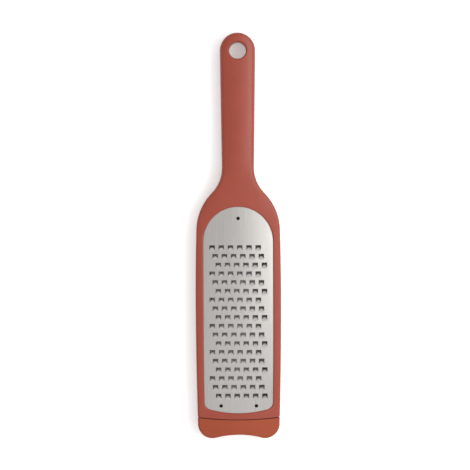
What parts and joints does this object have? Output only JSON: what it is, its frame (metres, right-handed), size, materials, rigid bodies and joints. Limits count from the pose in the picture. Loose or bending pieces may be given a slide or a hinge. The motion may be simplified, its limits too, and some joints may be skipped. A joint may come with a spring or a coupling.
{
  "type": "coarse grater",
  "caption": "Hand-held coarse grater with an arched etched steel blade in a moulded rim, a long handle with a hanging hole, and a push-on non-slip foot at the tip.",
  "frame": {"origin": "centre of the footprint, on the flat back", "axes": "+X to the right seen from the blade side, +Y towards the hanging hole, +Z out of the blade"},
  "size_m": [0.0684, 0.324, 0.018],
  "materials": {
    "grip_plastic": "fine satin moulded plastic, terracotta red",
    "blade_steel": "satin etched stainless steel",
    "retainer_plastic": "black moulded plastic",
    "foot_soft": "soft matt non-slip elastomer, slightly more orange than the body"
  },
  "bodies": {
    "grater": {"grip_frame": "grip_plastic", "blade_plate": "blade_steel", "blade_retainer": "retainer_plastic"},
    "foot": {"foot_cap": "foot_soft"}
  },
  "joints": [
    {"name": "foot_pull", "type": "slide", "parent": "grater", "child": "foot", "axis": [0, -1, 0], "range_m": [0, 0.02]}
  ]
}
